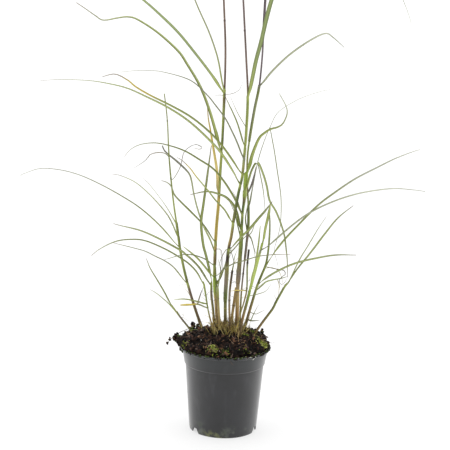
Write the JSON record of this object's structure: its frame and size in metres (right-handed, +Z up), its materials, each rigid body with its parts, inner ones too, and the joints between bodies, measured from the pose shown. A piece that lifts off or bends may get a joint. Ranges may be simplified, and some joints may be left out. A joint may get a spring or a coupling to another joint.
{
  "type": "potted ornamental grass",
  "caption": "Clump of tall ornamental grass with arching blades on upright canes, rooted in heaped potting soil in a round plastic nursery pot.",
  "frame": {"origin": "middle of the pot's underside, on the floor that the pot stands on; the plant's reach is centred on the same line", "axes": "+Z up along the pot's axis, -Y towards the viewer of the picture, +X to that viewer's right"},
  "size_m": [0.5738, 0.4097, 0.7294],
  "materials": {
    "pot_plastic": "satin",
    "potting_soil": "matte",
    "cane": "satin",
    "dead_straw": "matte",
    "blade_green": "satin"
  },
  "bodies": {
    "root": {"pot": "pot_plastic", "potting_soil": "potting_soil", "cane_centre": "cane", "cane_centre_blade_1": "blade_green", "cane_centre_blade_2": "dead_straw", "cane_centre_blade_3": "blade_green", "cane_centre_blade_4": "blade_green", "cane_centre_blade_5": "blade_green", "cane_centre_blade_6": "blade_green", "cane_centre_blade_7": "blade_green", "cane_green": "cane", "cane_green_blade_1": "blade_green", "cane_green_blade_2": "blade_green", "cane_green_blade_3": "blade_green", "cane_green_blade_4": "blade_green", "cane_left": "cane", "cane_left_blade_1": "blade_green", "cane_left_blade_2": "blade_green", "cane_left_blade_3": "blade_green", "cane_left_blade_4": "blade_green", "cane_main": "cane", "cane_main_blade_1": "blade_green", "cane_main_blade_2": "blade_green", "cane_main_blade_3": "dead_straw", "cane_main_blade_4": "blade_green", "cane_main_blade_5": "dead_straw", "cane_main_blade_6": "blade_green", "cane_main_blade_7": "blade_green", "cane_main_blade_8": "blade_green", "cane_right": "cane", "cane_right_blade_1": "blade_green", "cane_right_blade_2": "blade_green", "cane_right_blade_3": "blade_green", "shoot_far_left": "cane", "shoot_far_left_blade_1": "blade_green", "shoot_far_left_blade_2": "blade_green", "shoot_far_right": "cane", "shoot_far_right_blade_1": "blade_green", "shoot_far_right_blade_2": "blade_green", "shoot_green": "cane", "shoot_green_blade_1": "blade_green", "shoot_green_blade_2": "blade_green", "shoot_green_blade_3": "blade_green", "shoot_left": "cane", "shoot_left_blade_1": "blade_green", "shoot_left_blade_2": "blade_green", "shoot_left_blade_3": "blade_green", "shoot_right": "cane", "shoot_right_blade_1": "blade_green", "shoot_right_blade_2": "blade_green", "shoot_right_blade_3": "blade_green", "shoot_right_blade_4": "blade_green", "stalk_back": "cane", "stalk_brown": "cane", "stalk_front": "cane", "stalk_front_blade_1": "blade_green", "stalk_upright": "cane", "stalk_upright_blade_1": "blade_green", "stalk_upright_blade_2": "blade_green", "stub_dead": "dead_straw"}
  },
  "joints": []
}
